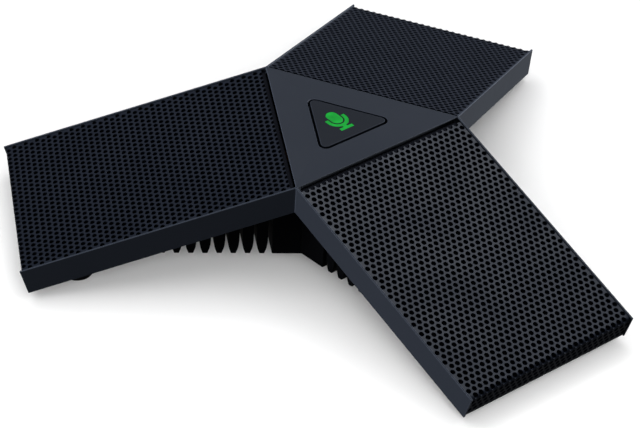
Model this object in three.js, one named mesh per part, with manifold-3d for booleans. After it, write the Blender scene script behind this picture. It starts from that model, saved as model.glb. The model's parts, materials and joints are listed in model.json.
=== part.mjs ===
// Conference speakerphone: three flat loudspeaker arms slope down and outwards from a flat
// triangular deck that holds one mute key. Millimetres, +Z up. The origin is on the table
// under the middle of the object's box, and the front arm points along -Y.
import * as THREE from 'three';
import { mergeVertices } from 'three/addons/utils/BufferGeometryUtils.js';
import Module from 'manifold-3d';

const wasm = await Module();
wasm.setup();

// ---------------------------------------------------------------- driving dimensions

const ARM_WIDTH = 82.5;         // outside width of an arm, and side of the triangular deck
const ARM_REACH = 129.7;        // from the centre axis to an arm's upper outer edge, level
const ARM_DROP = 33;            // how far that edge lies below the deck
const ARM_THICKNESS = 11.2;     // square to the slope
const TOTAL_HEIGHT = 46.5;      // table to deck
const BASE_CLEARANCE = 7.3;     // table to the underside of the hub and of the vent fins
const GAP = 0.3;                // clearance between pieces that rest on each other

// Top frame
const DECK_THICKNESS = 2.2;
const WALL = 2.4;               // side wall below its rim
const RIM = 0.8;                // thin rim that stands beside the grille
const RIM_DEPTH = 1.8;          // from the rim's top to the ledge under the grille
const DECK_LIP = 0.5;           // thin lip that the deck's edge ends in
const UNDERCUT = 1.2;           // how far the deck is cut back below that lip
const SKIRT_WALL = 1.6;         // wall under each edge of the deck
const SKIRT_DEPTH = 5.5;

// Perforated grille sheet
const SHEET = 1;
const SHEET_SINK = 0.5;         // the sheet lies this far below the rim
const SHEET_START = 2.25;       // open channel between the deck and the sheet
const SHEET_SIDE_GAP = 0.1;     // between the sheet and the rims beside it
const SHEET_END_INSET = 0.4;    // the fold stops this far short of the walls' ends
const SHEET_BEND = 1.6;         // outside radius of the fold
const SHEET_LIP_END = 0.6;      // the folded lip ends this far above the arm's underside
const CLOTH = 0.4;
const CLOTH_START = 1.1;
const CLOTH_END_GAP = 0.4;      // between the cloth and the end wall

// Lower housing and hub
const FLOOR = 2;
const HUB_REACH = 30.2;         // the hub's end wall under each arm
const HUB_HALF_WIDTH = 34.09;   // of the hub and fins, where their sides would cross the axis
const HUB_TAPER = 0.1016;       // the sides close in by this much for each unit outwards
const HUB_WALL = 2;
const COVER = 2.4;
const END_WALL = { near: 107.4, far: 109.2, top: -2.6 };    // across each arm, along the slope

// Vent fins
const FIN_PITCH = 5.54;
const FIN = 4.4;                // thickness of a fin where it is full
const FIN_COUNT = 11;
const FIN_START = 31.9;         // centre axis to the first fin
const FIN_SPINE = 1.4;
const FIN_TIP = [               // height above the fin's lower end, and its thickness there
  [0, 2], [0.9, 2.5], [1.8, 3.15], [2.9, 3.7], [4.3, 4.1], [6.3, FIN],
];

// Mute key
const KEY_CORNER = 15.9;        // centre axis to the middle of each rounded corner
const KEY_RADIUS = 2;           // corner radius of the key
const KEY_GROOVE = 1;           // gap round the key
const KEY_PROUD = 0.2;          // the key's face stands this far above the deck
const KEY_HEIGHT = 3.9;
const KEY_TOP = 1.8;
const KEY_WALL = 1.4;
const KEY_FLANGE = 1.4;
const KEY_FLANGE_REACH = 1.2;   // how far the flange reaches past the groove, under the deck
const ICON_GAP = 0.15;
const ICON_AT = 1.5;            // centre axis to the middle of the pictogram
const LENS_FLANGE = { length: 12, width: 15.4, radius: 2, thickness: 1.2 };
const LENS_POST = { radius: 2, length: 1.6 };

// Loudspeaker and microphone, in the arm's own sloping frame
const SPEAKER_AT = 48;          // along the slope, from the deck's edge
const SPEAKER = { length: 56, width: 40, radius: 9, top: -3.1, bottom: -8.5, rim: 0.8 };
const BASKET = { length: 48, width: 32, radius: 6, wall: 1.2, floor: 0.7 };
const SURROUND = { length: 47.2, width: 31.2, radius: 5.6, top: -3.9, bottom: -4.5 };
const SURROUND_ROLL = 4.5;
const CONE = { length: 37, width: 21, radius: 5, top: -3.7, bottom: -4.7 };
const MAGNET = { length: 30, width: 18, radius: 3, top: -5.7, bottom: -7.5 };
const MIC_AT = 100;
const MIC = { radius: 4.85, top: -3.4, bottom: -7.6 };
const BOOT = { radius: 6.5, bore: 5.15, top: -3.2, bottom: -8.6, floor: -7.9 };

// Flat cable to each arm
const RIBBON = { width: 7, thickness: 0.5, low: -8.5, across: 6, start: -0.3, firstTurn: 6 };
const RISER = { u: 21.1, low: 16, high: 38.6 };             // its upright stretch in the hub

// Boards and socket
const BOARD_THICKNESS = 1.6;
const BUTTON_BOARD_TOP = 36.6;
const BUTTON_BOARD_CORNER = 4;
const BOARD_POST = { reach: 28, radius: 2.5, pin: 1, pinHole: 1.4, pinBelow: 0.8 };
const STANDOFF = { reach: 18, radius: 2.5, height: 2.7 };
const MAIN_BOARD = { reach: 26, half: 15, tabStart: 15, tabEnd: 33.5 };
const SHIELD = { half: 10, front: -14, back: 6, height: 3 };
const SOCKET = { half: 7.8, back: 19, face: 37, height: 13.4 };
const PLUG_CAVITY = { half: 5.9, depth: 12, low: 2.3, high: 9.5 };
const LATCH_CAVITY = { half: 3, depth: 9, low: 9, high: 11.4 };
const NETWORK_CUT = { half: 8.1, near: 30, far: 50, low: 14.5, high: 28.7 };
const SWITCH = { half: 3, height: 3.5, bore: 2.05, floor: 0.7 };
const PLUNGER = { radius: 1.7, length: 2.3 };
const LED = { near: 4.4, far: 7, half: 0.8, height: 1.1 };

// Fastenings and feet
const SCREW_HEAD = 2.3;
const SCREW_HEAD_HEIGHT = 1.1;
const SCREW_SHANK = 1.25;
const SCREW_HOLE = 1.6;
const SCREW_SLOT = { half: 1.5, width: 0.7, depth: 0.6 };
const HEAD_ROOM = 2.7;          // radius of the recess for a screw's head
const ARM_SCREW_AT = { s: 70, v: 33 };
const ARM_SCREW_LENGTH = 7.2;
const ARM_HEAD_DEPTH = 1.5;
const ARM_POST = { radius: 3, top: -2.5, roof: 0.7, rib: 1.2 };
const ARM_BOSS = { radius: 4.4, height: 1.5 };
const COVER_SCREW_AT = { u: 25.4, v: -21 };
const COVER_SCREW_LENGTH = 9.5;
const COVER_HEAD_DEPTH = 1.4;
const COVER_BOSS = { radius: 3.2, height: 10.5, bore: 8.5 };
const HEAD_SEAT = 0.1;          // a screw's head lies this far inside its recess
const FOOT_RADIUS = 6.5;
const FOOT_CHAMFER = 0.8;
const FOOT_HOLE = 2.3;
const FOOT_STEM = 2;
const FOOT_BARB = { radius: 2.8, tip: 1.8, length: 1.4 };
const FOOT_AT = { s: 89.8, v: 26.1 };

// ---------------------------------------------------------------- derived dimensions

const ROOT3 = Math.sqrt(3);
const EDGE = ARM_WIDTH / 2 / ROOT3;                     // centre axis to each edge of the deck
const SLOPE = Math.atan2(ARM_DROP, ARM_REACH - EDGE);
const ARM_LENGTH = (ARM_REACH - EDGE) / Math.cos(SLOPE);
const HALF_WIDTH = ARM_WIDTH / 2;
const INNER_HALF = HALF_WIDTH - WALL;
const FLOOR_BOTTOM = -ARM_THICKNESS + GAP;
const FLOOR_TOP = FLOOR_BOTTOM + FLOOR;
const ARM_BOSS_TOP = FLOOR_TOP + ARM_BOSS.height;
const FLOOR_HALF = INNER_HALF - GAP;
const SHEET_HALF = HALF_WIDTH - RIM - SHEET_SIDE_GAP;
const SHEET_END = ARM_LENGTH - SHEET_END_INSET;
const CLOTH_TOP = -RIM_DEPTH;
const DECK_BOTTOM = TOTAL_HEIGHT - DECK_THICKNESS;
const BACK_REACH = ARM_REACH / 2 + HALF_WIDTH * ROOT3 / 2;
const AXIS_Y = (ARM_REACH - BACK_REACH) / 2;            // centre axis, from the row's origin
const FAR = 200;                                        // longer than any piece
const OVERLAP = 0.5;                                    // between shapes that become one piece

const ARMS = [
  { name: 'front', angle: -Math.PI / 2 },
  { name: 'right', angle: Math.PI / 6 },
  { name: 'left', angle: Math.PI * 5 / 6 },
];

// ---------------------------------------------------------------- materials

const plastic = (color, roughness) => new THREE.MeshStandardMaterial({ color, roughness });
const metal = (color, roughness) => {
  return new THREE.MeshStandardMaterial({ color, roughness, metalness: 0.9 });
};
const MATERIAL = {
  housing: plastic(0x2c3037, 0.5),
  underside: plastic(0x101114, 0.7),
  grille: new THREE.MeshStandardMaterial({ color: 0x2a2c36, roughness: 0.45, metalness: 0.3 }),
  cloth: plastic(0x050506, 0.95),
  key: plastic(0x2e323a, 0.5),
  icon: new THREE.MeshStandardMaterial({
    color: 0x1fd14a, roughness: 0.3, emissive: 0x10c038,
  }),
  rubber: plastic(0x0b0b0c, 0.9),
  board: plastic(0x0f4a2a, 0.5),
  socket: plastic(0x16171a, 0.4),
  cone: plastic(0x1a1a1c, 0.8),
  flex: plastic(0x9a5a1c, 0.5),
  led: plastic(0xe6eadf, 0.3),
  steel: metal(0x8d9096, 0.35),
  magnet: metal(0x4d4f55, 0.5),
  shield: metal(0xb9bcc0, 0.3),
};

// ---------------------------------------------------------------- solids and booleans

// A closed three.js geometry as a solid that can be joined and cut.
function solid(geometry) {
  const bare = geometry.clone();
  bare.deleteAttribute('normal');
  bare.deleteAttribute('uv');
  const merged = mergeVertices(bare, 1e-5);
  return new wasm.Manifold(new wasm.Mesh({
    numProp: 3,
    vertProperties: new Float32Array(merged.attributes.position.array),
    triVerts: new Uint32Array(merged.index.array),
  }));
}

function geometryOf(body) {
  const mesh = body.getMesh();
  const geometry = new THREE.BufferGeometry();
  geometry.setAttribute('position', new THREE.BufferAttribute(mesh.vertProperties, 3));
  geometry.setIndex(new THREE.BufferAttribute(mesh.triVerts, 1));
  return geometry;
}

const join = (bodies) => bodies.reduce((whole, next) => whole.add(next));
const cut = (body, tools) => tools.reduce((rest, tool) => rest.subtract(tool), body);
const moved = (body, matrix) => solid(geometryOf(body).applyMatrix4(matrix));

// The same body at each of the three arms.
const atEachArm = (body) => ARMS.map(({ angle }) => moved(body, turn(angle)));

// ---------------------------------------------------------------- basic shapes

const turn = (angle) => new THREE.Matrix4().makeRotationZ(angle);

// A point u outwards and v across in the level frame of the arm at this angle.
function levelPoint(u, v, angle) {
  const [cosine, sine] = [Math.cos(angle), Math.sin(angle)];
  return [u * cosine - v * sine, u * sine + v * cosine];
}

// From an arm's sloping frame to its level frame. In the sloping frame s runs down the
// slope from the deck's edge, v runs across, and n stands square to the slope.
const SLOPING = new THREE.Matrix4().makeRotationY(SLOPE).setPosition(EDGE, 0, TOTAL_HEIGHT);
const sloped = (geometry) => geometry.applyMatrix4(SLOPING);

function boxGeometry(x0, x1, y0, y1, z0, z1) {
  const box = new THREE.BoxGeometry(x1 - x0, y1 - y0, z1 - z0);
  return box.translate((x0 + x1) / 2, (y0 + y1) / 2, (z0 + z1) / 2);
}

function rodGeometry(x, y, radius, z0, z1, sides = 24, topRadius = radius) {
  const rod = new THREE.CylinderGeometry(topRadius, radius, z1 - z0, sides);
  return rod.rotateX(Math.PI / 2).translate(x, y, (z0 + z1) / 2);
}

function prismGeometry(outline, z0, z1, curveSegments = 3) {
  const shape = Array.isArray(outline)
    ? new THREE.Shape(outline.map(([x, y]) => new THREE.Vector2(x, y)))
    : outline;
  const options = { depth: z1 - z0, bevelEnabled: false, curveSegments };
  return new THREE.ExtrudeGeometry(shape, options).translate(0, 0, z0);
}

const box = (...sides) => solid(boxGeometry(...sides));
const rod = (...sides) => solid(rodGeometry(...sides));
const prism = (...sides) => solid(prismGeometry(...sides));
const slopedBox = (...sides) => solid(sloped(boxGeometry(...sides)));
const slopedRod = (...sides) => solid(sloped(rodGeometry(...sides)));

// A convex outline, counter-clockwise, whose corners are arcs about the given centres.
function roundedShape(centres, radius) {
  const shape = new THREE.Shape();
  const count = centres.length;
  centres.forEach(([x, y], i) => {
    const [px, py] = centres[(i + count - 1) % count];
    const [nx, ny] = centres[(i + 1) % count];
    const before = Math.atan2(y - py, x - px) - Math.PI / 2;
    const after = Math.atan2(ny - y, nx - x) - Math.PI / 2;
    shape.absarc(x, y, radius, before, after, false);
  });
  return shape;
}

function roundedRectangle(length, width, radius, centreX = 0) {
  const x = length / 2 - radius;
  const y = width / 2 - radius;
  const centres = [[-x, -y], [x, -y], [x, y], [-x, y]];
  return roundedShape(centres.map(([cx, cy]) => [cx + centreX, cy]), radius);
}

// Rounded triangle whose corners point into the valleys between the arms.
function keyShape(radius) {
  const centres = ARMS.map(({ angle }) => levelPoint(KEY_CORNER, 0, angle + Math.PI / 3));
  return roundedShape(centres, radius);
}

// The microphone pictogram: a capsule, and a cradle on a stem and base, all grown by margin.
function iconShapes(margin) {
  const capsule = { radius: 2.5, low: 0.7, high: 3.7 };
  const cradle = { radius: 3.95, half: 0.75, centre: 0.6, top: 2.2 };
  const stem = { half: 0.85, bottom: -4.8 };
  const foot = { half: 3.1, bottom: -6.3 };
  const top = new THREE.Shape();
  top.absarc(0, capsule.low, capsule.radius + margin, Math.PI, 0, false);
  top.absarc(0, capsule.high, capsule.radius + margin, 0, Math.PI, false);
  const outer = cradle.radius + cradle.half + margin;
  const inner = cradle.radius - cradle.half - margin;
  const bracket = new THREE.Shape();
  bracket.absarc(0, cradle.centre, outer, Math.PI, 0, false);
  bracket.lineTo(outer, cradle.top + margin);
  bracket.lineTo(inner, cradle.top + margin);
  bracket.absarc(0, cradle.centre, inner, 0, Math.PI, true);
  bracket.lineTo(-inner, cradle.top + margin);
  bracket.lineTo(-outer, cradle.top + margin);
  const stemTop = cradle.centre - cradle.radius;
  const stalk = [
    [-stem.half - margin, stem.bottom], [stem.half + margin, stem.bottom],
    [stem.half + margin, stemTop], [-stem.half - margin, stemTop],
  ];
  const base = [
    [-foot.half - margin, foot.bottom - margin], [foot.half + margin, foot.bottom - margin],
    [foot.half + margin, stem.bottom + margin], [-foot.half - margin, stem.bottom + margin],
  ];
  return [top, bracket, stalk, base];
}

function iconSolids(margin, z0, z1) {
  return iconShapes(margin).map((shape) => prism(shape, z0, z1, 6).translate([0, ICON_AT, 0]));
}

// ---------------------------------------------------------------- the three sloping planes

// Everything above a plane that lies n off each arm's slope, as one tool for each arm.
// Cutting with all three leaves a low roof that slopes down along every arm.
const aboveSlopes = (n) => atEachArm(slopedBox(-FAR, FAR, -FAR, FAR, n, n + FAR));
const pastArmEnds = (s) => atEachArm(slopedBox(s, s + FAR, -FAR, FAR, -FAR, FAR));

// Plan of the three arms together, with sides at the given distance from each centre line.
function starPlan(half) {
  return ARMS.flatMap(({ angle }) => {
    const corners = [[FAR, -half], [FAR, half], [half / ROOT3, half]];
    return corners.map(([u, v]) => levelPoint(u, v, angle));
  });
}

// A star-shaped layer of the arms between two sloping planes.
function slopingLayer(half, top, bottom) {
  const whole = cut(prism(starPlan(half), -FAR, FAR), aboveSlopes(top));
  const under = cut(prism(starPlan(half + 1), -FAR - 1, FAR), aboveSlopes(bottom));
  return whole.subtract(under);
}

// ---------------------------------------------------------------- top frame

// Post that takes an arm screw, tied to the side wall by a rib.
function screwPost(side) {
  const low = ARM_BOSS_TOP + GAP;
  const { radius, top, roof, rib: thickness } = ARM_POST;
  const { s, v } = ARM_SCREW_AT;
  const post = slopedRod(s, side * v, radius, low, top, 16);
  const [near, far] = [side * v, side * (INNER_HALF + OVERLAP)].sort((a, b) => a - b);
  const rib = slopedBox(s - thickness / 2, s + thickness / 2, near, far, low + 0.2, top - 0.2);
  const hole = slopedRod(s, side * v, SCREW_HOLE, low - 1, top - roof, 12);
  return cut(join([post, rib]), [hole]);
}

// The deck's triangle, with its edges set back by inset.
function deckPlan(inset) {
  return ARMS.map(({ angle }) => levelPoint(2 * (EDGE - inset), 0, angle + Math.PI / 3));
}

// Posts under the deck that carry the button board on pins.
function boardPosts() {
  return ARMS.flatMap(({ angle }) => {
    const { reach, radius, pin, pinBelow } = BOARD_POST;
    const [x, y] = levelPoint(reach, 0, angle + Math.PI / 3);
    const pinBottom = BUTTON_BOARD_TOP - BOARD_THICKNESS - pinBelow;
    return [
      rod(x, y, radius, BUTTON_BOARD_TOP + GAP, DECK_BOTTOM + OVERLAP, 12),
      rod(x, y, pin, pinBottom, BUTTON_BOARD_TOP + 2 * OVERLAP, 10),
    ];
  });
}

function topFrame() {
  const walls = cut(slopingLayer(HALF_WIDTH, 0, -ARM_THICKNESS), [
    prism(starPlan(INNER_HALF), -FAR, FAR),
    box(-FAR, FAR, -FAR, FAR, TOTAL_HEIGHT, 2 * FAR),
    ...pastArmEnds(ARM_LENGTH),
  ]);
  const deck = join([
    prism(deckPlan(0), TOTAL_HEIGHT - DECK_LIP, TOTAL_HEIGHT),
    prism(deckPlan(UNDERCUT), DECK_BOTTOM, TOTAL_HEIGHT - DECK_LIP / 2),
  ]);
  const skirtFace = EDGE - UNDERCUT;
  const skirtBack = skirtFace - SKIRT_WALL;
  const skirtEnd = INNER_HALF + OVERLAP;
  const skirtPlan = [
    [skirtBack, -skirtEnd], [skirtFace, -skirtEnd], [skirtFace, skirtEnd], [skirtBack, skirtEnd],
  ];
  const skirts = atEachArm(prism(skirtPlan, TOTAL_HEIGHT - SKIRT_DEPTH, TOTAL_HEIGHT - 1));
  const posts = [-1, 1].flatMap((side) => atEachArm(screwPost(side)));
  const rimInside = HALF_WIDTH - RIM;
  const ledge = box(EDGE, FAR, -rimInside, rimInside, -FAR, FAR)
    .intersect(slopedBox(-FAR, FAR, -FAR, FAR, -RIM_DEPTH, FAR));
  const wallEnd = SHEET_END - SHEET - GAP;
  const lipRoom = slopedBox(wallEnd, FAR, -rimInside, rimInside, -FAR, FAR);
  const opening = prism(keyShape(KEY_RADIUS + KEY_GROOVE), DECK_BOTTOM - 1, FAR, 5);
  const rebates = [...atEachArm(ledge), ...atEachArm(lipRoom)];
  const whole = join([walls, deck, ...skirts, ...posts, ...boardPosts()]);
  return cut(whole, [...rebates, opening]);
}

// ---------------------------------------------------------------- grille and cloth

function grilleGeometry() {
  const top = -SHEET_SINK;
  const under = top - SHEET;
  const lipEnd = -ARM_THICKNESS + SHEET_LIP_END;
  const bend = { s: SHEET_END - SHEET_BEND, n: top - SHEET_BEND };
  const section = new THREE.Shape();
  section.moveTo(SHEET_START, under);
  section.lineTo(bend.s, under);
  section.absarc(bend.s, bend.n, SHEET_BEND - SHEET, Math.PI / 2, 0, true);
  section.lineTo(SHEET_END - SHEET, lipEnd);
  section.lineTo(SHEET_END, lipEnd);
  section.absarc(bend.s, bend.n, SHEET_BEND, 0, Math.PI / 2, false);
  section.lineTo(SHEET_START, top);
  const sheet = prismGeometry(section, -SHEET_HALF, SHEET_HALF, 4);
  return sheet.rotateX(Math.PI / 2);
}

function clothGeometry() {
  const half = FLOOR_HALF;
  const end = END_WALL.near - CLOTH_END_GAP;
  return boxGeometry(CLOTH_START, end, -half, half, CLOTH_TOP - CLOTH, CLOTH_TOP);
}

// ---------------------------------------------------------------- lower housing and hub

// Plan of the hub, drawn in by inset: two corners under each arm and one in each valley.
function hubOutline(inset) {
  const half = HUB_HALF_WIDTH - inset * Math.hypot(1, HUB_TAPER);
  const reach = HUB_REACH - inset;
  const end = half - HUB_TAPER * reach;
  const valley = 2 * half / (ROOT3 + HUB_TAPER);
  return ARMS.flatMap(({ angle }) => {
    const corners = [[reach, -end], [reach, end], [valley / 2, valley / 2 * ROOT3]];
    return corners.map(([u, v]) => levelPoint(u, v, angle));
  });
}

// Holes through one arm's floor for its two screws and for the stems of its two feet.
function floorHoles() {
  const { s, v } = ARM_SCREW_AT;
  return [-1, 1].flatMap((side) => [
    slopedRod(s, side * v, SCREW_HOLE, -30, 0, 12),
    slopedRod(s, side * v, HEAD_ROOM, -30, FLOOR_BOTTOM + ARM_HEAD_DEPTH, 16),
    slopedRod(FOOT_AT.s, side * FOOT_AT.v, FOOT_HOLE, -30, 0, 16),
  ]);
}

function lowerHousing() {
  const floor = cut(slopingLayer(FLOOR_HALF, FLOOR_TOP, FLOOR_BOTTOM), [
    prism(hubOutline(HUB_WALL / 2), -FAR, FAR),
    ...pastArmEnds(END_WALL.far),
  ]);
  const hub = cut(prism(hubOutline(0), BASE_CLEARANCE, FAR), [
    prism(hubOutline(HUB_WALL), 0, 2 * FAR),
    ...aboveSlopes(FLOOR_TOP - 0.3),
  ]);
  const { s, v } = ARM_SCREW_AT;
  const { near, far, top } = END_WALL;
  const wallHalf = FLOOR_HALF - 0.2;
  const arm = [
    slopedBox(near, far - 0.1, -wallHalf, wallHalf, FLOOR_TOP - 1, top),
    ...[-1, 1].map((side) => {
      return slopedRod(s, side * v, ARM_BOSS.radius, FLOOR_TOP - 1, ARM_BOSS_TOP, 16);
    }),
  ];
  const bossLow = BASE_CLEARANCE + COVER + 2 * GAP;
  const at = COVER_SCREW_AT;
  const { radius, height, bore } = COVER_BOSS;
  const boss = rod(at.u, at.v, radius, bossLow, bossLow + height, 16);
  const bossHole = rod(at.u, at.v, SCREW_HOLE, bossLow - 1, bossLow + bore, 12);
  const added = [...arm, boss].flatMap(atEachArm);
  const holes = [...floorHoles(), bossHole].flatMap(atEachArm);
  const socketHole = box(
    -NETWORK_CUT.half, NETWORK_CUT.half, NETWORK_CUT.near, NETWORK_CUT.far,
    NETWORK_CUT.low, NETWORK_CUT.high,
  );
  return cut(join([floor, hub, ...added]), [...holes, socketHole]);
}

// The gap between two fins, as an outline that widens where the fins taper to their ends.
function finGapOutline() {
  const high = FAR / 2;
  const heights = [[-1, FIN_TIP[0][1]], ...FIN_TIP, [high, FIN]];
  const right = heights.map(([up, fin]) => [(FIN_PITCH - fin) / 2, up]);
  const left = right.map(([half, up]) => [-half, up]).reverse();
  return [...right, ...left];
}

function ventComb() {
  const start = FIN_START;
  const end = start + FIN_PITCH * (FIN_COUNT - 1) + FIN;
  const halfAt = (u) => HUB_HALF_WIDTH - HUB_TAPER * u;
  const plan = [
    [start, -halfAt(start)], [end, -halfAt(end)], [end, halfAt(end)], [start, halfAt(start)],
  ];
  const top = -ARM_THICKNESS;
  const block = prism(plan, BASE_CLEARANCE, FAR)
    .intersect(slopedBox(-FAR, FAR, -FAR, FAR, -FAR, top));
  const underSpine = slopedBox(-FAR, FAR, -FAR, FAR, -FAR, top - FIN_SPINE);
  const gap = prismGeometry(finGapOutline(), -FAR / 2, FAR / 2).rotateX(Math.PI / 2);
  const gaps = [];
  for (let i = 0; i <= FIN_COUNT; i++) {
    const middle = start - (FIN_PITCH - FIN) / 2 + i * FIN_PITCH;
    const shape = solid(gap.clone().translate(middle, 0, BASE_CLEARANCE));
    const inside = i > 0 && i < FIN_COUNT;
    gaps.push(inside ? shape.intersect(underSpine) : shape);
  }
  return cut(block, gaps);
}

const MAIN_BOARD_BOTTOM = BASE_CLEARANCE + GAP + COVER + STANDOFF.height + GAP;

function bottomCover() {
  const low = BASE_CLEARANCE + GAP;
  const { u, v } = COVER_SCREW_AT;
  const plate = prism(hubOutline(HUB_WALL + GAP), low, low + COVER);
  const standoffs = ARMS.map(({ angle }) => {
    const [x, y] = levelPoint(STANDOFF.reach, 0, angle + Math.PI / 3);
    return rod(x, y, STANDOFF.radius, low + 1, low + COVER + STANDOFF.height, 12);
  });
  const hole = rod(u, v, SCREW_HOLE, 0, 20, 12);
  const headRoom = rod(u, v, HEAD_ROOM, 0, low + COVER_HEAD_DEPTH, 16);
  return cut(join([plate, ...standoffs]), [hole, headRoom].flatMap(atEachArm));
}

// ---------------------------------------------------------------- feet and screws

// Rubber bumper: an upright disc cut off along the arm's underside, and a barbed stem that
// holds it in the floor's hole.
function foot() {
  const { s, v } = FOOT_AT;
  const seat = FLOOR_BOTTOM - GAP;
  const u = EDGE + s * Math.cos(SLOPE) + seat * Math.sin(SLOPE);
  const disc = join([
    rod(u, v, FOOT_RADIUS - FOOT_CHAMFER, 0, FOOT_CHAMFER, 24, FOOT_RADIUS),
    rod(u, v, FOOT_RADIUS, FOOT_CHAMFER, 16, 24),
  ]);
  const under = slopedBox(-FAR, FAR, -FAR, FAR, -FAR, seat);
  const barbLow = FLOOR_TOP + GAP;
  const { radius, tip, length } = FOOT_BARB;
  const stem = slopedRod(s, v, FOOT_STEM, seat - 1, barbLow + 0.1, 12);
  const barb = slopedRod(s, v, radius, barbLow, barbLow + length, 12, tip);
  return join([disc.intersect(under), stem, barb]);
}

// Pan-head screw, head down, with its head's face at z = 0.
function screwSolid(length) {
  const body = join([
    rod(0, 0, SCREW_HEAD, 0, SCREW_HEAD_HEIGHT, 16),
    rod(0, 0, SCREW_SHANK, SCREW_HEAD_HEIGHT / 2, length, 8),
  ]);
  const { half, width, depth } = SCREW_SLOT;
  const slots = [
    box(-half, half, -width / 2, width / 2, -1, depth),
    box(-width / 2, width / 2, -half, half, -1, depth),
  ];
  return cut(body, slots);
}

// ---------------------------------------------------------------- mute key

const KEY_BOTTOM = TOTAL_HEIGHT - KEY_HEIGHT;
const KEY_FACE = TOTAL_HEIGHT + KEY_PROUD;
const LENS_TOP = TOTAL_HEIGHT - KEY_TOP - GAP;
const LENS_BOTTOM = LENS_TOP - LENS_FLANGE.thickness;
const LENS_POST_BOTTOM = LENS_BOTTOM - LENS_POST.length;
const PLUNGER_TOP = LENS_POST_BOTTOM - GAP;
const ON_BUTTON_BOARD = BUTTON_BOARD_TOP + GAP;

function muteKey() {
  const cap = prism(keyShape(KEY_RADIUS), KEY_BOTTOM, KEY_FACE, 5);
  const flangeRadius = KEY_RADIUS + KEY_GROOVE + KEY_FLANGE_REACH;
  const flange = prism(keyShape(flangeRadius), KEY_BOTTOM, KEY_BOTTOM + KEY_FLANGE, 5);
  const hollow = prism(
    keyShape(KEY_RADIUS - KEY_WALL), KEY_BOTTOM - 1, TOTAL_HEIGHT - KEY_TOP, 5,
  );
  return cut(join([cap, flange]), [hollow, ...iconSolids(ICON_GAP, DECK_BOTTOM, FAR)]);
}

function iconLens() {
  const { length, width, radius } = LENS_FLANGE;
  const flange = prism(roundedRectangle(length, width, radius), LENS_BOTTOM, LENS_TOP);
  const post = rod(0, 0, LENS_POST.radius, LENS_POST_BOTTOM, LENS_BOTTOM + 0.2, 16);
  return join([flange, post, ...iconSolids(0, LENS_TOP - 0.2, KEY_FACE)]);
}

function switchPlunger() {
  return rod(0, 0, PLUNGER.radius, PLUNGER_TOP - PLUNGER.length, PLUNGER_TOP, 16);
}

function tactSwitch() {
  const { half, height, bore, floor } = SWITCH;
  const low = ON_BUTTON_BOARD;
  const body = box(-half, half, -half, half, low, low + height);
  return cut(body, [rod(0, 0, bore, low + floor, FAR, 16)]);
}

function statusLed(side) {
  const { near, far, half, height } = LED;
  const [x0, x1] = [side * near, side * far].sort((a, b) => a - b);
  return boxGeometry(x0, x1, -half, half, ON_BUTTON_BOARD, ON_BUTTON_BOARD + height);
}

function buttonBoard() {
  const { reach, pinHole } = BOARD_POST;
  const centres = ARMS.map(({ angle }) => levelPoint(reach, 0, angle + Math.PI / 3));
  const low = BUTTON_BOARD_TOP - BOARD_THICKNESS;
  const plate = prism(roundedShape(centres, BUTTON_BOARD_CORNER), low, BUTTON_BOARD_TOP, 4);
  const holes = centres.map(([x, y]) => rod(x, y, pinHole, 0, FAR, 12));
  return cut(plate, holes);
}

// ---------------------------------------------------------------- hub electronics

function mainBoard() {
  const { reach, half, tabStart, tabEnd } = MAIN_BOARD;
  const outline = ARMS.flatMap(({ angle }) => {
    return [[reach, -half], [reach, half]].map(([u, v]) => levelPoint(u, v, angle));
  });
  const low = MAIN_BOARD_BOTTOM;
  const tab = box(-SOCKET.half, SOCKET.half, tabStart, tabEnd, low, low + BOARD_THICKNESS);
  return join([prism(outline, low, low + BOARD_THICKNESS), tab]);
}

const ON_MAIN_BOARD = MAIN_BOARD_BOTTOM + BOARD_THICKNESS + GAP;

function networkSocket() {
  const { half, back, face, height } = SOCKET;
  const base = ON_MAIN_BOARD;
  const cavities = [PLUG_CAVITY, LATCH_CAVITY].map((room) => {
    const start = face - room.depth;
    return box(-room.half, room.half, start, face + 1, base + room.low, base + room.high);
  });
  return cut(box(-half, half, back, face, base, base + height), cavities);
}

// ---------------------------------------------------------------- loudspeaker, microphone

// A rounded rectangular prism on the loudspeaker's axis, in the arm's sloping frame.
function speakerPrism(length, width, radius, bottom, top) {
  return prism(roundedRectangle(length, width, radius, SPEAKER_AT), bottom, top, 2);
}

function speakerFrame() {
  const { length, width, radius, top, bottom, rim: thickness } = SPEAKER;
  const rim = speakerPrism(length, width, radius, top - thickness, top);
  const { length: inside, width: across, radius: corner, wall, floor } = BASKET;
  const basket = speakerPrism(
    inside + 2 * wall, across + 2 * wall, corner + wall, bottom, top - thickness / 2,
  );
  return cut(join([rim, basket]), [speakerPrism(inside, across, corner, bottom + floor, 1)]);
}

function speakerSurround() {
  const { length, width, radius, top, bottom } = SURROUND;
  const outer = speakerPrism(length, width, radius, bottom, top);
  const roll = 2 * SURROUND_ROLL;
  return cut(outer, [speakerPrism(length - roll, width - roll, radius, bottom - 1, top + 1)]);
}

function speakerPart({ length, width, radius, top, bottom }) {
  return speakerPrism(length, width, radius, bottom, top);
}

function micBoot() {
  const boot = rod(MIC_AT, 0, BOOT.radius, BOOT.bottom, BOOT.top, 20);
  return cut(boot, [rod(MIC_AT, 0, BOOT.bore, BOOT.floor, 0, 20)]);
}

const micCapsule = () => rod(MIC_AT, 0, MIC.radius, MIC.bottom, MIC.top, 20);

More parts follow.
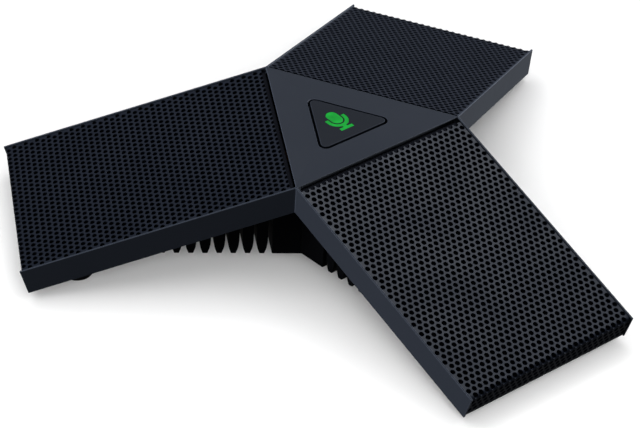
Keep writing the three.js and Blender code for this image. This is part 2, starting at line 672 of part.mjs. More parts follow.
// Flat flexible cable: up from the main board, out round the loudspeaker on the arm's
// floor, and in to the microphone.
function armRibbon() {
  const { width, thickness, low, across, start, firstTurn } = RIBBON;
  const side = SPEAKER.width / 2 + 2 * GAP;
  const secondTurn = SPEAKER_AT + SPEAKER.length / 2 + 1;
  const strip = (s0, s1, v0, v1) => slopedBox(s0, s1, v0, v1, low, low + thickness);
  return join([
    box(RISER.u, RISER.u + thickness, across, across + width, RISER.low, RISER.high),
    strip(start, firstTurn + width, across, across + width),
    strip(firstTurn, firstTurn + width, across, side + width),
    strip(firstTurn, secondTurn + width, side, side + width),
    strip(secondTurn, secondTurn + width, -width / 2, side + width),
    strip(secondTurn, MIC_AT - BOOT.radius - GAP - 0.1, -width / 2, width / 2),
  ]);
}

// ---------------------------------------------------------------- assembly

function piece(name, shape, material) {
  const geometry = shape.isBufferGeometry ? shape : geometryOf(shape);
  const mesh = new THREE.Mesh(geometry, material);
  mesh.name = name;
  return mesh;
}

// The pieces of one arm that lie in its sloping frame.
function slopingPieces(name) {
  const group = new THREE.Group();
  group.position.set(EDGE, 0, TOTAL_HEIGHT);
  group.rotation.y = SLOPE;
  group.add(
    piece(`grille_${name}`, grilleGeometry(), MATERIAL.grille),
    piece(`acoustic_cloth_${name}`, clothGeometry(), MATERIAL.cloth),
    piece(`speaker_frame_${name}`, speakerFrame(), MATERIAL.socket),
    piece(`speaker_magnet_${name}`, speakerPart(MAGNET), MATERIAL.magnet),
    piece(`speaker_surround_${name}`, speakerSurround(), MATERIAL.rubber),
    piece(`speaker_cone_${name}`, speakerPart(CONE), MATERIAL.cone),
    piece(`mic_boot_${name}`, micBoot(), MATERIAL.rubber),
    piece(`mic_capsule_${name}`, micCapsule(), MATERIAL.steel),
  );
  for (const [suffix, side] of [['a', 1], ['b', -1]]) {
    const shape = screwSolid(ARM_SCREW_LENGTH);
    const screw = piece(`arm_screw_${name}_${suffix}`, shape, MATERIAL.steel);
    screw.position.set(ARM_SCREW_AT.s, side * ARM_SCREW_AT.v, FLOOR_BOTTOM + HEAD_SEAT);
    group.add(screw);
  }
  return group;
}

// One arm's own pieces, in its level frame: u outwards, v across, z up from the table.
function armPieces({ name, angle }) {
  const group = new THREE.Group();
  group.rotation.z = angle;
  group.add(
    slopingPieces(name),
    piece(`vent_comb_${name}`, ventComb(), MATERIAL.underside),
    piece(`arm_ribbon_${name}`, armRibbon(), MATERIAL.flex),
  );
  const mirror = new THREE.Matrix4().makeScale(1, -1, 1);
  const near = foot();
  const far = geometryOf(near).applyMatrix4(mirror);
  far.index.array.reverse();
  group.add(
    piece(`foot_${name}_a`, near, MATERIAL.rubber),
    piece(`foot_${name}_b`, far, MATERIAL.rubber),
  );
  const screw = piece(`cover_screw_${name}`, screwSolid(COVER_SCREW_LENGTH), MATERIAL.steel);
  screw.position.set(COVER_SCREW_AT.u, COVER_SCREW_AT.v, BASE_CLEARANCE + GAP + HEAD_SEAT);
  group.add(screw);
  return group;
}

function keyPieces() {
  const group = new THREE.Group();
  group.add(
    piece('mute_button', muteKey(), MATERIAL.key),
    piece('mic_icon_lens', iconLens(), MATERIAL.icon),
    piece('switch_plunger', switchPlunger(), MATERIAL.socket),
    piece('tact_switch', tactSwitch(), MATERIAL.socket),
    piece('button_board', buttonBoard(), MATERIAL.board),
    piece('status_led_a', statusLed(-1), MATERIAL.led),
    piece('status_led_b', statusLed(1), MATERIAL.led),
  );
  return group;
}

function hubPieces() {
  const group = new THREE.Group();
  const { half, front, back, height } = SHIELD;
  const shield = boxGeometry(-half, half, front, back, ON_MAIN_BOARD, ON_MAIN_BOARD + height);
  group.add(
    piece('bottom_cover', bottomCover(), MATERIAL.underside),
    piece('main_board', mainBoard(), MATERIAL.board),
    piece('processor_shield', shield, MATERIAL.shield),
    piece('network_socket', networkSocket(), MATERIAL.socket),
  );
  return group;
}

const speakerphone = new THREE.Group();
speakerphone.name = 'conference_speakerphone';
speakerphone.position.y = AXIS_Y;
speakerphone.add(
  piece('top_frame', topFrame(), MATERIAL.housing),
  piece('lower_housing', lowerHousing(), MATERIAL.underside),
  ...ARMS.map(armPieces),
  keyPieces(),
  hubPieces(),
);

export default speakerphone;
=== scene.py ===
"""Looks for the conference speakerphone: three sloping perforated arms round a lit mute key.

Lengths are in metres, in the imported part's frame: +Z up, the front arm along -Y.
"""

import json
import math
import bmesh
import bpy
from mathutils import Matrix, Vector
from mathutils.geometry import delaunay_2d_cdt

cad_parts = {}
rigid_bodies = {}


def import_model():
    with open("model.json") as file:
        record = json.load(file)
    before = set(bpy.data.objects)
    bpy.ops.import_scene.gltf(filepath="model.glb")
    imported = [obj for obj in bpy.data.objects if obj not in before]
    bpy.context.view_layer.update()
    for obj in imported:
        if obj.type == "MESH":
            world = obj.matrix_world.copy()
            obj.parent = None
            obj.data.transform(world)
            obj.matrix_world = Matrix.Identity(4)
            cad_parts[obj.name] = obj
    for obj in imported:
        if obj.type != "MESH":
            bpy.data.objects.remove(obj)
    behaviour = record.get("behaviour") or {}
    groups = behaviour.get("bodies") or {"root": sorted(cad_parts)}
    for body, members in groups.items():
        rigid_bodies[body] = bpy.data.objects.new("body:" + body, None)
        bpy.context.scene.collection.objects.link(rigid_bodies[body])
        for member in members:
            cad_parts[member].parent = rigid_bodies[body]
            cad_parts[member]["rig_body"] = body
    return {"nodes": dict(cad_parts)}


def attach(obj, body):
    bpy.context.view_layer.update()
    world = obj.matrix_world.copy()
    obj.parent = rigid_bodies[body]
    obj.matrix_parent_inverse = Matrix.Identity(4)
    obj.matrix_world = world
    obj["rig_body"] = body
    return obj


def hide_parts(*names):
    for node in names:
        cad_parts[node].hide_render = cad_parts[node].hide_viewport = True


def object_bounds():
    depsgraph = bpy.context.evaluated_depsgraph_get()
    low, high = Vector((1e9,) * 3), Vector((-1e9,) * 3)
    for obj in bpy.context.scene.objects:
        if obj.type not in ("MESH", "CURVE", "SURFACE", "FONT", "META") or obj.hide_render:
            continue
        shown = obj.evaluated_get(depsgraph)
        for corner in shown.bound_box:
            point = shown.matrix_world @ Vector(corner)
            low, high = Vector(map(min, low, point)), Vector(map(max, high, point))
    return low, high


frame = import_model()
cad_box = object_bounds()
nodes = frame["nodes"]

MM = 0.001
ARMS = {"front": -90, "right": 30, "left": 150}

# ---- the arms, as the part has them: start and reach are measured from the centre axis ----
ARM_WIDTH = 82.5 * MM
ARM_START = ARM_WIDTH / 2 * math.tan(math.radians(30))
ARM_REACH = 129.7 * MM
ARM_DROP = 33 * MM
DECK_TOP = 46.5 * MM
AXIS_Y = cad_box[0][1] + ARM_REACH
SLOPE = math.atan(ARM_DROP / (ARM_REACH - ARM_START))

# ---- the perforated sheet that folds down over an arm's end ----
SHEET = 1 * MM
SHEET_SINK = 0.5 * MM
SHEET_HALF = 40.35 * MM
SHEET_START = 2.25 * MM
FOLD_AT = 110.51 * MM
FOLD_RADIUS = 1.6 * MM
LIP_LOW = 10.6 * MM
FLAT_LENGTH = FOLD_AT - FOLD_RADIUS - SHEET_START
FOLD_LENGTH = (FOLD_RADIUS - SHEET / 2) * math.pi / 2
LIP_LENGTH = LIP_LOW - SHEET_SINK - FOLD_RADIUS
SHEET_LENGTH = FLAT_LENGTH + FOLD_LENGTH + LIP_LENGTH
FOLD_STEPS = 5

# ---- its holes, in staggered rows that run across the arm ----
HOLE_RADIUS = 1.0 * MM
HOLE_SIDES = 12
HOLE_CHAMFER = 0.1 * MM
RIM_RADIUS = HOLE_RADIUS + HOLE_CHAMFER
RIM_SLACK = 1.001  # a point this many rim radii from a hole's centre still counts as on its rim
HOLE_PITCH = 2.8 * MM
ROW_PITCH = HOLE_PITCH * math.sqrt(3) / 2
FIRST_ROW = 0.25 * MM
END_MARGIN = 0.3 * MM
EVEN_ROW_HOLES = 28
ROWS = int((SHEET_LENGTH - HOLE_RADIUS - END_MARGIN - FIRST_ROW) / ROW_PITCH) + 1
PLAN_TOLERANCE = 0.001 * MM

# ---- the cloth glued behind it ----
CLOTH = 0.15 * MM
CLOTH_GAP = 0.02 * MM
CLOTH_HALF = 39.6 * MM
CLOTH_START = 0.9 * MM
CLOTH_SHORT = 0.4 * MM
CLOTH_FLAT_STEPS = 24
CLOTH_HALF_STEPS = 9

# ---- the mouldings' edges: those sharper than SHARP are rounded off by these radii ----
SHARP = math.radians(32)
FRAME_ROUND = 0.22 * MM
KEY_ROUND = 0.25 * MM
UNDERSIDE_ROUND = 0.3 * MM
SOCKET_ROUND = 0.2 * MM
FOOT_ROUND = 0.5 * MM
KEY_MIDDLE = 9.5 * MM  # closer to the axis than this, the key's edges stay sharp
WELD = 0.002 * MM  # points closer together than this become one
NEARLY_FLAT = math.radians(0.6)  # faces that meet at less than this become one
SMOOTH_BELOW = math.radians(35)  # grille and cloth edges below this are shaded smooth

# ---- the studio: each light's direction from the object, distance, size and power ----
FLOOR_HALF = 3.0
SKY_STRENGTH = 0.12
OBJECT_LIGHTS = {
    "softbox_key": ((0.5, 0.3, 0.85), 1.7, 1.0, 47),
    "softbox_right": ((1.0, -0.25, 0.15), 1.6, 0.7, 11),
    "softbox_left": ((-1.0, 0.45, 0.12), 1.6, 0.7, 12),
}
WALL_LIGHTS = {
    "wall_right": ((1.0, -0.35, 0.06), 1.6, 0.3, 67),
    "wall_left": ((-1.0, 0.31, 0.06), 1.6, 0.3, 31),
}
WARM_WHITE = (1, 0.94, 0.82)
FLOOR_OVERHEAD = ((0, 0, 1), 1.7, 2.0, 10)
FLOOR_WASHES = [  # azimuth, rise, power
    (-125, 0.5, 28), (-60, 1.1, 6), (0, 1.1, 4), (60, 1.1, 8), (120, 1.1, 8), (165, 1.1, 6),
]
WASH_DISTANCE = 1.7
WASH_SIZE = 1.3

# ---- the camera ----
CAMERA_AZIMUTH = math.radians(318.93)
CAMERA_ELEVATION = math.radians(37.1)
CAMERA_ROLL = math.radians(3.51)
CAMERA_DISTANCE = 1.19
CAMERA_AIM = Vector((-0.02538, -0.00581, 0.025))
CAMERA_LENS = 171.7


# ---------------------------------------------------------------- materials

# Noise seldom leaves this range, so colours and roughness are spread over it.
NOISE_LOW = 0.3
NOISE_HIGH = 0.7


class Surface:
    """A Principled material being built, with the node patterns that the pieces share."""

    def __init__(self, name, **constants):
        self.material = bpy.data.materials.new(name)
        self.material.use_nodes = True
        self.tree = self.material.node_tree
        self.shader = self.tree.nodes["Principled BSDF"]
        self.place = self.node("ShaderNodeTexCoord").outputs["Object"]
        self.normal = None
        for socket, value in constants.items():
            self.shader.inputs[socket.replace("_", " ")].default_value = value

    def node(self, kind, inputs=None, **settings):
        node = self.tree.nodes.new(kind)
        for setting, value in settings.items():
            setattr(node, setting, value)
        for socket, value in (inputs or {}).items():
            self.put(value, node.inputs[socket])
        return node

    def put(self, value, socket):
        if isinstance(value, bpy.types.NodeSocket):
            self.tree.links.new(value, socket)
        else:
            socket.default_value = value

    def noise(self, size, detail=2.0, stretch=None):
        """Noise from 0 to 1 whose features are about that size, in metres."""
        place = self.place
        if stretch:
            mapping = self.node("ShaderNodeMapping", {"Vector": place, "Scale": stretch})
            place = mapping.outputs["Vector"]
        inputs = {"Vector": place, "Scale": 1 / size, "Detail": detail}
        return self.node("ShaderNodeTexNoise", inputs).outputs["Fac"]

    def spread(self, value, low, high):
        """A number from low to high as value crosses the noise's range."""
        inputs = {"Value": value, "To Min": low, "To Max": high}
        inputs |= {"From Min": NOISE_LOW, "From Max": NOISE_HIGH}
        return self.node("ShaderNodeMapRange", inputs).outputs["Result"]

    def math(self, operation, first, second):
        return self.node("ShaderNodeMath", {0: first, 1: second}, operation=operation).outputs[0]

    def tint(self, value, dark, light):
        """A colour from dark to light as value crosses the noise's range."""
        ramp = self.node("ShaderNodeValToRGB", {"Fac": value})
        places = (NOISE_LOW, NOISE_HIGH)
        for stop, place, colour in zip(ramp.color_ramp.elements, places, (dark, light)):
            stop.position = place
            stop.color = (*colour, 1)
        return ramp.outputs["Color"]

    def blend(self, amount, first, second):
        """The first colour turned into the second by amount."""
        node = self.node("ShaderNodeMix", data_type="RGBA")
        self.put(amount, node.inputs["Factor"])
        self.put(first, node.inputs[6])
        self.put(second, node.inputs[7])
        return node.outputs[2]

    def relief(self, height, depth):
        """Bump of that depth, in metres, on top of what is there already."""
        bump = self.node("ShaderNodeBump", {"Height": height, "Distance": depth, "Strength": 1.0})
        if self.normal:
            self.put(self.normal, bump.inputs["Normal"])
        self.normal = bump.outputs["Normal"]
        self.put(self.normal, self.shader.inputs["Normal"])

    def colour(self, socket):
        self.put(socket, self.shader.inputs["Base Color"])

    def roughness(self, socket):
        self.put(socket, self.shader.inputs["Roughness"])


# Next to no gloss, so that the near lights don't wash out dark colours.
MATTE = {"Specular_IOR_Level": 0.01}


def shade(colour, factor):
    return tuple(channel * factor for channel in colour)


def moulded(name, colour, roughness, grain=0.3 * MM, depth=0.012 * MM, contrast=0.1, **constants):
    """Moulded plastic: a spark-eroded grain, a slow drift of colour and uneven roughness."""
    surface = Surface(name, **MATTE, **constants)
    fine = surface.noise(grain, detail=3)
    slow = surface.noise(38 * MM, detail=2)
    drift = surface.tint(slow, shade(colour, 0.95), shade(colour, 1.05))
    speckled = surface.tint(fine, shade(colour, 1 - contrast), shade(colour, 1 + contrast))
    surface.colour(surface.blend(0.55, drift, speckled))
    surface.roughness(surface.spread(surface.noise(14 * MM), roughness - 0.04, roughness + 0.05))
    surface.relief(fine, depth)
    return surface.material


def powder_coated(name, colour, roughness):
    """Satin powder coat over sheet metal: a faint orange peel and darker, thicker patches."""
    surface = Surface(name, Specular_IOR_Level=0.07, Specular_Tint=(0.86, 0.92, 1.0, 1))
    peel = surface.noise(0.7 * MM, detail=2)
    fine = surface.noise(0.16 * MM, detail=2)
    slow = surface.noise(24 * MM, detail=3)
    coat = surface.tint(slow, shade(colour, 0.93), shade(colour, 1.06))
    grains = surface.tint(fine, shade(colour, 0.86), shade(colour, 1.14))
    surface.colour(surface.blend(0.4, coat, grains))
    surface.roughness(surface.spread(slow, roughness - 0.05, roughness + 0.06))
    surface.relief(peel, 0.03 * MM)
    surface.relief(fine, 0.008 * MM)
    return surface.material


def woven_cloth(name, colour):
    """Woven speaker cloth: two sets of threads at right angles, with some fuzz."""
    surface = Surface(name, Roughness=1.0, Specular_IOR_Level=0.1)
    fineness = 0.34 * MM
    inputs = {"Vector": surface.place, "Scale": 0.1 / fineness}
    inputs |= {"Distortion": 0.25, "Detail Scale": 2.0}
    waves = []
    for direction in ("X", "Y"):
        node = surface.node("ShaderNodeTexWave", inputs, bands_direction=direction)
        waves.append(node.outputs["Fac"])
    weave = surface.math("MAXIMUM", *waves)
    fuzz = surface.noise(0.5 * MM, detail=4)
    lit = surface.math("MULTIPLY", weave, fuzz)
    surface.colour(surface.tint(lit, shade(colour, 0.6), shade(colour, 1.5)))
    surface.relief(weave, 0.08 * MM)
    surface.relief(fuzz, 0.03 * MM)
    return surface.material


def lit_lens(name, colour, strength):
    """Light guide lit from below: it glows a little unevenly, over a dark colour of its own."""
    surface = Surface(name, Roughness=0.35, Emission_Strength=strength, **MATTE)
    cloud = surface.noise(4.5 * MM, detail=2)
    glow = surface.tint(cloud, shade(colour, 0.72), shade(colour, 1.12))
    surface.colour(surface.blend(0.8, glow, (0, 0, 0, 1)))
    surface.put(glow, surface.shader.inputs["Emission Color"])
    surface.relief(surface.noise(0.4 * MM), 0.01 * MM)
    return surface.material


def rubber(name, colour):
    """Soft black rubber with dust in its pores."""
    surface = Surface(name, **MATTE)
    dust = surface.noise(0.9 * MM, detail=5)
    surface.colour(surface.tint(dust, shade(colour, 0.8), shade(colour, 1.5)))
    surface.roughness(surface.spread(surface.noise(5 * MM), 0.78, 0.95))
    surface.relief(dust, 0.02 * MM)
    return surface.material


def solder_mask(name, colour):
    """A circuit board: a glossy solder mask over a grid of copper tracks."""
    surface = Surface(name, Coat_Weight=0.5, Coat_Roughness=0.15)
    inputs = {"Vector": surface.place, "Scale": 1.0}
    inputs |= {"Mortar Size": 0.12 * MM, "Brick Width": 4.2 * MM, "Row Height": 1.6 * MM}
    tracks = surface.node("ShaderNodeTexBrick", inputs).outputs["Fac"]
    cloud = surface.noise(9 * MM)
    board = surface.tint(cloud, shade(colour, 0.85), shade(colour, 1.1))
    surface.colour(surface.blend(tracks, board, (*shade(colour, 1.7), 1)))
    surface.roughness(surface.spread(cloud, 0.3, 0.42))
    surface.relief(tracks, 0.03 * MM)
    return surface.material


def metal(name, colour, roughness, grain=(1, 1, 1)):
    """Bare or plated metal, tarnished in patches. grain packs its tooling marks along an axis."""
    surface = Surface(name, Metallic=1.0)
    marks = surface.noise(0.25 * MM, detail=4, stretch=grain)
    tarnish = surface.noise(6 * MM, detail=3)
    surface.colour(surface.tint(tarnish, shade(colour, 0.85), shade(colour, 1.08)))
    surface.roughness(surface.spread(marks, roughness - 0.07, roughness + 0.1))
    surface.relief(marks, 0.006 * MM)
    return surface.material


def pressed_paper(name, colour):
    """Loudspeaker cone: short fibres pressed into a matte shell."""
    surface = Surface(name)
    fibres = surface.noise(0.5 * MM, detail=6, stretch=(1, 1, 4))
    surface.colour(surface.tint(fibres, shade(colour, 0.7), shade(colour, 1.35)))
    surface.roughness(surface.spread(fibres, 0.75, 0.95))
    surface.relief(fibres, 0.04 * MM)
    return surface.material


HOUSING = (0.0185, 0.0220, 0.0300)

# One for each of the part's slots, and three lighter ones for edges that are rounded off: a
# painted highlight along those edges, partly wear.
MATERIALS = {
    "housing_plastic": moulded("housing_plastic", HOUSING, 0.52),
    # Lighter than the housing: a painted highlight along its rounded edges, partly wear.
    "housing_edge_wear_and_highlight": moulded("housing_edge_wear_and_highlight", shade(HOUSING, 2.0), 0.42, depth=0.004 * MM),
    "underside_plastic": moulded("underside_plastic", (0.005, 0.0055, 0.007), 0.5),
    # Lighter than the underside: a painted highlight along its rounded edges, partly wear.
    "underside_edge_wear_and_highlight": moulded("underside_edge_wear_and_highlight", (0.007, 0.0075, 0.009), 0.42, depth=0.004 * MM),
    "key_plastic": moulded("key_plastic", shade(HOUSING, 0.64), 0.46, grain=0.2 * MM),
    # Lighter than the key: a painted highlight along its rounded outer edge, partly wear.
    "key_edge_wear_and_highlight": moulded("key_edge_wear_and_highlight", shade(HOUSING, 1.6), 0.38, depth=0.004 * MM),
    "black_plastic": moulded("black_plastic", (0.012, 0.0125, 0.014), 0.38, grain=0.5 * MM),
    "led_body": moulded("led_body", (0.75, 0.77, 0.7), 0.3, contrast=0.03, Subsurface_Weight=0.2),
    "flex_cable": moulded("flex_cable", (0.33, 0.12, 0.02), 0.35, contrast=0.05, Coat_Weight=0.4),
    "grille_metal": powder_coated("grille_metal", (0.0092, 0.0119, 0.0195), 0.42),
    "acoustic_cloth": woven_cloth("acoustic_cloth", (0.0021, 0.0029, 0.0062)),
    "lit_icon": lit_lens("lit_icon", (0.009, 0.31, 0.036), 1.0),
    "rubber": rubber("rubber", (0.012, 0.012, 0.013)),
    "circuit_board": solder_mask("circuit_board", (0.006, 0.07, 0.03)),
    "screw_steel": metal("screw_steel", (0.5, 0.5, 0.52), 0.3),
    "magnet": metal("magnet", (0.32, 0.32, 0.34), 0.35),
    "shield_metal": metal("shield_metal", (0.62, 0.63, 0.65), 0.32, grain=(1, 9, 1)),
    "cone_paper": pressed_paper("cone_paper", (0.02, 0.02, 0.023)),
}


# ---------------------------------------------------------------- shapes


def arm_space(name):
    """From an arm's own axes (down the slope, across, out of it) to the part's frame."""
    turn = math.radians(ARMS[name])
    out = Vector((math.cos(turn), math.sin(turn), 0))
    up = Vector((0, 0, 1))
    along = out * math.cos(SLOPE) - up * math.sin(SLOPE)
    across = up.cross(out)
    normal = out * math.sin(SLOPE) + up * math.cos(SLOPE)
    origin = Vector((0, AXIS_Y, DECK_TOP)) + out * ARM_START
    return Matrix.Translation(origin) @ Matrix((along, across, normal)).transposed().to_4x4()


def on_sheet(run, across, depth):
    """A point of the folded sheet: run along it from its start, depth below its outer face."""
    if run <= FLAT_LENGTH:
        return Vector((SHEET_START + run, across, -SHEET_SINK - depth))
    radius = FOLD_RADIUS - depth
    turn = (run - FLAT_LENGTH) / FOLD_LENGTH * math.pi / 2
    if turn <= math.pi / 2:
        out = radius * math.sin(turn)
        drop = FOLD_RADIUS - radius * math.cos(turn)
    else:
        out = radius
        drop = FOLD_RADIUS + run - FLAT_LENGTH - FOLD_LENGTH
    return Vector((FOLD_AT - FOLD_RADIUS + out, across, -SHEET_SINK - drop))


def row_count(row):
    """How many holes a row has. Odd rows are staggered and have one more."""
    return EVEN_ROW_HOLES + row % 2


def hole_centre(row, place):
    """The centre of a hole on the flattened sheet. The sheet's edge cuts through row 0."""
    from_middle = place - (row_count(row) - 1) / 2
    return Vector((FIRST_ROW + row * ROW_PITCH, from_middle * HOLE_PITCH))


def nearest_hole(point):
    """The row and place of the hole nearest to a point of the flattened sheet."""
    middle_row = round((point.x - FIRST_ROW) / ROW_PITCH)
    near = []
    for row in range(max(0, middle_row - 1), min(ROWS, middle_row + 2)):
        last = row_count(row) - 1
        near.append((row, min(last, max(0, round(point.y / HOLE_PITCH + last / 2)))))
    return min(near, key=lambda hole: (hole_centre(*hole) - point).length)


def rim(centre):
    """The corners of a hole's rim on the sheet's outer face."""
    turns = [2 * math.pi * side / HOLE_SIDES for side in range(HOLE_SIDES)]
    return [centre + Vector((math.cos(turn), math.sin(turn))) * RIM_RADIUS for turn in turns]


def fold_lines():
    """How far along the sheet its fold turns, one step at a time."""
    return [FLAT_LENGTH + FOLD_LENGTH * step / FOLD_STEPS for step in range(FOLD_STEPS + 1)]


def perforated_plan():
    """The flattened sheet with its holes' rims drawn on it: its points and its triangles."""
    points = [Vector((0, -SHEET_HALF)), Vector((SHEET_LENGTH, -SHEET_HALF))]
    points += [Vector((SHEET_LENGTH, SHEET_HALF)), Vector((0, SHEET_HALF))]
    edges = [(0, 1), (1, 2), (2, 3), (3, 0)]
    for line in fold_lines():
        edges.append((len(points), len(points) + 1))
        points += [Vector((line, -SHEET_HALF)), Vector((line, SHEET_HALF))]
    holes = [hole_centre(row, place) for row in range(ROWS) for place in range(row_count(row))]
    for centre in holes:
        start = len(points)
        points += rim(centre)
        edges += [(start + side, start + (side + 1) % HOLE_SIDES) for side in range(HOLE_SIDES)]
    found, _, triangles, *_ = delaunay_2d_cdt(points, edges, [], 0, PLAN_TOLERANCE, False)
    return found, triangles


def between_holes(plan, triangles, owners, on_rim):
    """The triangles that are metal: outside the holes, and not before the sheet's start."""
    kept = []
    for triangle in triangles:
        middle = sum((plan[corner] for corner in triangle), Vector((0, 0))) / 3
        hole = nearest_hole(middle)
        in_hole = all(on_rim[corner] and owners[corner] == hole for corner in triangle)
        if middle.x > 0 and not in_hole:
            kept.append(triangle)
    return kept


def border(triangles):
    """The sides that belong to one triangle only."""
    sides = {}
    for triangle in triangles:
        for side in zip(triangle, (*triangle[1:], triangle[0])):
            key = tuple(sorted(side))
            sides[key] = None if key in sides else side
    return [side for side in sides.values() if side]


def build_mesh(name, points, faces, material):
    mesh = bpy.data.meshes.new(name)
    mesh.from_pydata(points, [], faces)
    mesh.materials.append(MATERIALS[material])
    mesh.update()
    return mesh


def perforated_mesh():
    """The sheet with its holes: chamfered in front, and a little wider again at the back."""
    plan, triangles = perforated_plan()
    owners = [nearest_hole(point) for point in plan]
    centres = [hole_centre(*owner) for owner in owners]
    reach = RIM_RADIUS * RIM_SLACK
    on_rim = [(centre - point).length < reach for centre, point in zip(centres, plan)]
    kept = between_holes(plan, triangles, owners, on_rim)
    sides = border(kept)
    count = len(plan)
    points = [on_sheet(point.x, point.y, 0) for point in plan]
    points += [on_sheet(point.x, point.y, SHEET) for point in plan]
    faces = [tuple(triangle) for triangle in kept]
    faces += [tuple(corner + count for corner in reversed(triangle)) for triangle in kept]
    wall = {}
    for corner in sorted({corner for side in sides for corner in side}):
        point = plan[corner]
        if on_rim[corner]:
            point = centres[corner] + (point - centres[corner]).normalized() * HOLE_RADIUS
        wall[corner] = len(points)
        points.append(on_sheet(point.x, point.y, HOLE_CHAMFER))
    for first, second in sides:
        faces.append((second, first, wall[first], wall[second]))
        faces.append((wall[second], wall[first], first + count, second + count))
    return build_mesh("perforated_sheet", points, faces, "grille_metal")


def cloth_mesh():
    """The cloth as a thin closed sheet behind the grille, and its length when flat."""
    start = CLOTH_START - SHEET_START
    end = SHEET_LENGTH - CLOTH_SHORT
    steps = range(CLOTH_FLAT_STEPS)
    runs = [start + (FLAT_LENGTH - start) * step / CLOTH_FLAT_STEPS for step in steps]
    runs += fold_lines() + [end]
    sideways = range(-CLOTH_HALF_STEPS, CLOTH_HALF_STEPS + 1)
    acrosses = [CLOTH_HALF * step / CLOTH_HALF_STEPS for step in sideways]
    points = []
    for depth in (SHEET + CLOTH_GAP, SHEET + CLOTH_GAP + CLOTH):
        points += [on_sheet(run, across, depth) for run in runs for across in acrosses]
    wide = len(acrosses)
    layer = wide * len(runs)
    faces = []
    for row in range(len(runs) - 1):
        for column in range(wide - 1):
            corner = row * wide + column
            face = (corner, corner + wide, corner + wide + 1, corner + 1)
            faces.append(face)
            faces.append(tuple(index + layer for index in reversed(face)))
    around = list(range(wide))
    around += [row * wide + wide - 1 for row in range(1, len(runs))]
    around += [(len(runs) - 1) * wide + column for column in reversed(range(wide - 1))]
    around += [row * wide for row in reversed(range(1, len(runs) - 1))]
    for first, second in zip(around, around[1:] + around[:1]):
        faces.append((first, second, second + layer, first + layer))
    return build_mesh("cloth_backing", points, faces, "acoustic_cloth"), end - start


def add_object(name, mesh, place=None):
    thing = bpy.data.objects.new(name, mesh)
    bpy.context.scene.collection.objects.link(thing)
    if place:
        thing.matrix_world = place
    return thing


def soft_edges(thing):
    """Shades the faces smooth, apart from the sharper edges."""
    thing.data.shade_smooth()
    thing.data.set_sharp_from_angle(angle=SMOOTH_BELOW)


def mark_outer_edges(shape, clear):
    """Picks the sharp edges for the bevel, apart from those within clear of the centre axis."""
    weight = shape.edges.layers.float.new("bevel_weight_edge")
    for edge in shape.edges:
        middle = (edge.verts[0].co + edge.verts[1].co) / 2
        outside = math.hypot(middle.x, middle.y - AXIS_Y) > clear
        sharp = edge.calc_face_angle(0) > SHARP
        edge[weight] = 1.0 if outside and sharp else 0.0
        edge.smooth = outside or not sharp


def rounded_copy(node, slot, edge_slot, radius, segments=2, clear=0):
    """A copy of a CAD node with its edges rounded off, which stands for the node."""
    mesh = nodes[node].data.copy()
    mesh.name = node + "_rounded"
    body = nodes[node]["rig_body"]
    shape = bmesh.new()
    shape.from_mesh(mesh)
    bmesh.ops.remove_doubles(shape, verts=shape.verts, dist=WELD)
    bmesh.ops.dissolve_limit(
        shape, verts=shape.verts, edges=shape.edges, angle_limit=NEARLY_FLAT
    )
    mark_outer_edges(shape, clear)
    shape.to_mesh(mesh)
    shape.free()
    mesh.materials.clear()
    mesh.materials.append(MATERIALS[slot])
    mesh.materials.append(MATERIALS[edge_slot])
    if mesh.has_custom_normals:
        mesh.attributes.remove(mesh.attributes["custom_normal"])
    thing = add_object(node + "_rounded", mesh)
    bevel = thing.modifiers.new("rounded edges", "BEVEL")
    bevel.width = radius
    bevel.segments = segments
    bevel.limit_method = "WEIGHT"
    bevel.use_clamp_overlap = False
    bevel.miter_outer = "MITER_ARC"
    bevel.harden_normals = True
    # The rounded edges take the second slot; where that is lighter, it is a painted highlight,
    # partly wear.
    bevel.material = 1
    mesh.shade_smooth()
    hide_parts(node)
    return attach(thing, body)


# ---------------------------------------------------------------- pieces


def arm_pieces():
    """The perforated sheet and the cloth behind it, on each arm."""
    sheet = perforated_mesh()
    cloth, cloth_run = cloth_mesh()
    for name in ARMS:
        grille = add_object("grille_perforated_" + name, sheet.copy(), arm_space(name))
        soft_edges(grille)
        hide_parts("grille_" + name)
        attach(grille, "chassis")
        backing = add_object("cloth_backing_" + name, cloth.copy(), arm_space(name))
        soft_edges(backing)
        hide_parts("acoustic_cloth_" + name)
        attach(backing, "chassis")


def moulded_pieces():
    """The housing's mouldings, combs, feet and key, with rounded edges."""
    underside = ("underside_plastic", "underside_edge_wear_and_highlight", UNDERSIDE_ROUND)
    rounded_copy("top_frame", "housing_plastic", "housing_edge_wear_and_highlight", FRAME_ROUND)
    rounded_copy("lower_housing", *underside)
    rounded_copy("bottom_cover", *underside)
    rounded_copy("mute_button", "key_plastic", "key_edge_wear_and_highlight", KEY_ROUND, clear=KEY_MIDDLE)
    rounded_copy("network_socket", "black_plastic", "black_plastic", SOCKET_ROUND)
    for name in ARMS:
        rounded_copy("vent_comb_" + name, *underside)
        for end in "ab":
            rounded_copy(f"foot_{name}_{end}", "rubber", "rubber", FOOT_ROUND, segments=3)


def carried_nodes():
    """The CAD nodes that stay: each takes its slot's procedural material."""
    for node in nodes.values():
        if not node.hide_render:
            slot = node.data.materials[0].name.split(".")[0]
            node.data.materials[0] = MATERIALS[slot]


# ---------------------------------------------------------------- studio


def floor():
    """A pale floor, which lends the object neither light nor reflections."""
    material = Surface("studio_floor", Roughness=0.9)
    material.colour(material.tint(material.noise(0.4), (0.86, 0.86, 0.865), (0.9, 0.9, 0.9)))
    signs = ((-1, -1), (1, -1), (1, 1), (-1, 1))
    corners = [(x * FLOOR_HALF, y * FLOOR_HALF, 0) for x, y in signs]
    mesh = bpy.data.meshes.new("studio_floor")
    mesh.from_pydata(corners, [], [(0, 1, 2, 3)])
    mesh.materials.append(material.material)
    thing = add_object("studio_floor", mesh)
    thing.visible_diffuse = False
    thing.visible_glossy = False
    return thing


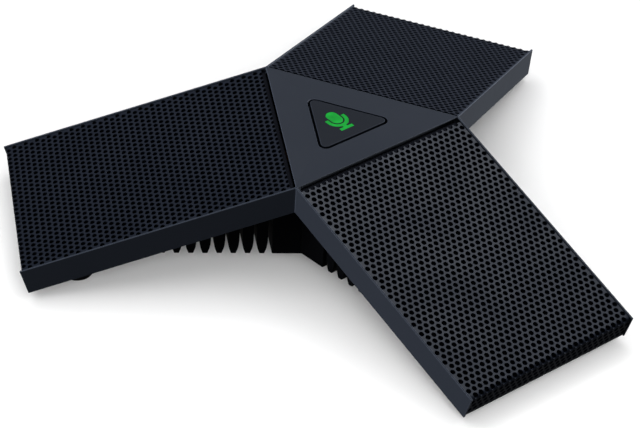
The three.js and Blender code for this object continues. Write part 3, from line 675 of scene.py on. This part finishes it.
def softbox(name, direction, distance, size, power):
    """A square area light that looks at the point the camera aims at."""
    light = bpy.data.lights.new(name, "AREA")
    light.shape = "SQUARE"
    light.size = size
    light.energy = power
    thing = bpy.data.objects.new(name, light)
    away = Vector(direction).normalized()
    thing.location = CAMERA_AIM + away * distance
    thing.rotation_euler = away.to_track_quat("Z", "Y").to_euler()
    bpy.context.scene.collection.objects.link(thing)
    return thing


def link_light(light, thing, state):
    """INCLUDE: the light lights that thing alone. EXCLUDE: it lights everything else."""
    linked = bpy.data.collections.new(light.name + "_links")
    linked.objects.link(thing)
    linked.collection_objects[0].light_linking.link_state = state
    light.light_linking.receiver_collection = linked


def studio():
    """Some lights for the object, two low ones for its walls, and others for the floor."""
    ground = floor()
    walls = bpy.data.objects["top_frame_rounded"]
    world = bpy.data.worlds.new("studio")
    world.use_nodes = True
    sky = world.node_tree.nodes["Background"]
    sky.inputs["Color"].default_value = (1, 1, 1, 1)
    sky.inputs["Strength"].default_value = SKY_STRENGTH
    bpy.context.scene.world = world
    for name, setup in OBJECT_LIGHTS.items():
        link_light(softbox(name, *setup), ground, "EXCLUDE")
    for name, setup in WALL_LIGHTS.items():
        link_light(softbox(name, *setup), walls, "INCLUDE")
    bpy.data.lights["wall_right"].color = WARM_WHITE
    link_light(softbox("floor_overhead", *FLOOR_OVERHEAD), ground, "INCLUDE")
    for azimuth, rise, power in FLOOR_WASHES:
        turn = math.radians(azimuth)
        direction = (math.cos(turn), math.sin(turn), rise)
        name = f"floor_wash_{azimuth % 360}"
        wash = softbox(name, direction, WASH_DISTANCE, WASH_SIZE, power)
        link_light(wash, ground, "INCLUDE")
    bpy.context.scene.view_settings.view_transform = "Standard"


def camera():
    """A long lens that looks at the object from the front left and above, slightly rolled."""
    flat = math.cos(CAMERA_ELEVATION)
    out = (math.sin(CAMERA_AZIMUTH) * flat, -math.cos(CAMERA_AZIMUTH) * flat)
    back = Vector((*out, math.sin(CAMERA_ELEVATION)))
    level = Vector((math.cos(CAMERA_AZIMUTH), math.sin(CAMERA_AZIMUTH), 0))
    right = Matrix.Rotation(CAMERA_ROLL, 3, back) @ level
    up = back.cross(right)
    data = bpy.data.cameras.new("camera")
    data.lens = CAMERA_LENS
    thing = bpy.data.objects.new("camera", data)
    place = Matrix((right, up, back)).transposed().to_4x4()
    thing.matrix_world = Matrix.Translation(CAMERA_AIM + back * CAMERA_DISTANCE) @ place
    bpy.context.scene.collection.objects.link(thing)
    bpy.context.scene.camera = thing


camera()
arm_pieces()
moulded_pieces()
carried_nodes()
studio()
